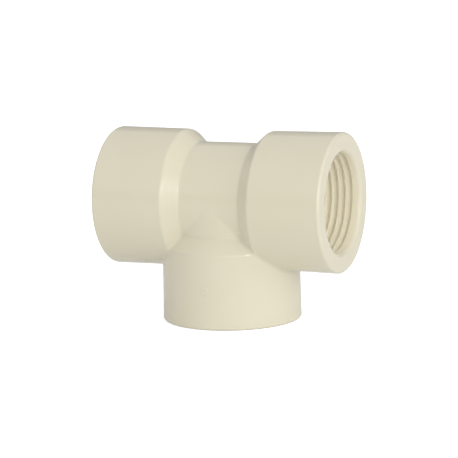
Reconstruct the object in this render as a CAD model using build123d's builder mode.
"""Equal tee for 3/4 inch pipe, with a female thread in each of its three collars.

Frame: +Z up, the run along X and the branch pointing down. The origin is the centre of the
branch's end face, so the fitting stands on that face. Lengths are in millimetres.

The real fitting is one injection moulding. Its regions are written as four solids that meet
face to face: the junction where the passages cross, and one collar around each mouth.
"""

from build123d import *
import os
from math import radians, tan

# Thread of the three mouths: 3/4 inch parallel pipe thread, 55 degrees, right-handed. The
# crests are moulded blunt, at the upper limit of the standard's bore, 24.658 mm.
THREAD_PITCH = 25.4 / 14
THREAD_MAJOR_RADIUS = 26.441 / 2
THREAD_CREST_RADIUS = 12.3
THREAD_HALF_ANGLE = 27.5
THREAD_TURNS = 6.5
THREAD_START_DEPTH = 1.868  # the groove starts just behind the mouth's rounded lip
TOOL_OVERLAP = 0.12  # how far the groove's cutting shape reaches inside the bore

# Outside of one arm. A reach is measured along the arm from where the passages cross.
ARM_REACH = 29.8
BARREL_RADIUS = 13.9
CREASE_REACH = 7.8  # the barrel ends and the shoulder's cone begins
SHOULDER_REACH = 11.3  # the cone meets the collar
SHOULDER_RADIUS = 16.96
SHOULDER_ROUND = 1.2
RIM_RADIUS = 17.15
RIM_ROUND = 0.75

# Inside of one arm. A depth is measured from the end face.
WATERWAY_RADIUS = 10.75
BORE_DEPTH = 16.5  # down to the ledge that stops the pipe
LIP_ROUND = 1.05

# The three arms: the way each points, and the side its thread starts from
CROSSING = Vector(0, 0, ARM_REACH)
ARM_DIRECTIONS = {
    "left_collar": Vector(-1, 0, 0),
    "right_collar": Vector(1, 0, 0),
    "branch_collar": Vector(0, 0, -1),
}
THREAD_START_SIDE = (0, 1, 0)


def groove_half_width(radius):
    """Half the thread groove's width along the arm, at one radius."""
    root_flat = THREAD_PITCH / 6
    return root_flat / 2 + (THREAD_MAJOR_RADIUS - radius) * tan(radians(THREAD_HALF_ANGLE))


# One arm in its own frame: z is the reach from the crossing, and x the side of the start.
# The mouth's lip is one generous round that leads a pipe straight onto the thread's crests.
wall_section = [
    (WATERWAY_RADIUS, CREASE_REACH),
    (BARREL_RADIUS, CREASE_REACH),
    (SHOULDER_RADIUS, SHOULDER_REACH),
    (RIM_RADIUS, ARM_REACH),
    (THREAD_CREST_RADIUS, ARM_REACH),
    (THREAD_CREST_RADIUS, ARM_REACH - BORE_DEPTH),
    (WATERWAY_RADIUS, ARM_REACH - BORE_DEPTH),
]
section_rounds = [0, 0, SHOULDER_ROUND, RIM_ROUND, LIP_ROUND, 0, 0]

thread_length = THREAD_PITCH * THREAD_TURNS
thread_height = THREAD_MAJOR_RADIUS - THREAD_CREST_RADIUS
opening_half_width = groove_half_width(THREAD_CREST_RADIUS - TOOL_OVERLAP)
root_half_width = groove_half_width(THREAD_MAJOR_RADIUS)

with BuildPart() as whole_arm:
    with BuildSketch(Plane.XZ):
        with BuildLine():
            FilletPolyline(wall_section, radius=section_rounds, close=True)
        make_face()
    revolve(axis=Axis.Z)

    # The groove is one trapezoid swept up a helix, from its deep end out towards the mouth
    with BuildLine() as groove_path:
        Helix(
            THREAD_PITCH,
            thread_length,
            THREAD_CREST_RADIUS,
            center=(0, 0, ARM_REACH - THREAD_START_DEPTH - thread_length),
        )
    with BuildSketch(Plane(origin=groove_path.line @ 0, x_dir=(1, 0, 0), z_dir=groove_path.line % 0)):
        with BuildLine():
            Polyline(
                (-TOOL_OVERLAP, -opening_half_width),
                (thread_height, -root_half_width),
                (thread_height, root_half_width),
                (-TOOL_OVERLAP, opening_half_width),
                close=True,
            )
        make_face()
    sweep(path=groove_path.line, is_frenet=True, mode=Mode.SUBTRACT)

# The middle: two barrels crossed, two passages through them, cut off at the creases
with BuildPart() as junction_body:
    for radius, mode in ((BARREL_RADIUS, Mode.ADD), (WATERWAY_RADIUS, Mode.SUBTRACT)):
        for out in ARM_DIRECTIONS.values():
            with BuildSketch(Plane(origin=CROSSING, z_dir=out)):
                Circle(radius)
            extrude(amount=CREASE_REACH, mode=mode)
    for out in ARM_DIRECTIONS.values():
        split(bisect_by=Plane(origin=CROSSING + out * CREASE_REACH, z_dir=-out), keep=Keep.TOP)

os.makedirs("parts", exist_ok=True)
junction_body.part.label = "junction_body"
export_step(junction_body.part, "parts/junction_body.step")

# Each collar is the whole arm in its place, mitred against the arms that are square to it
for node, out in ARM_DIRECTIONS.items():
    with BuildPart(Plane(origin=CROSSING, x_dir=THREAD_START_SIDE, z_dir=out)) as collar:
        add(whole_arm.part)
        for other in ARM_DIRECTIONS.values():
            if abs(out.dot(other)) < 0.5:
                split(bisect_by=Plane(origin=CROSSING, z_dir=out - other), keep=Keep.TOP)
    collar.part.label = node
    export_step(collar.part, f"parts/{node}.step")
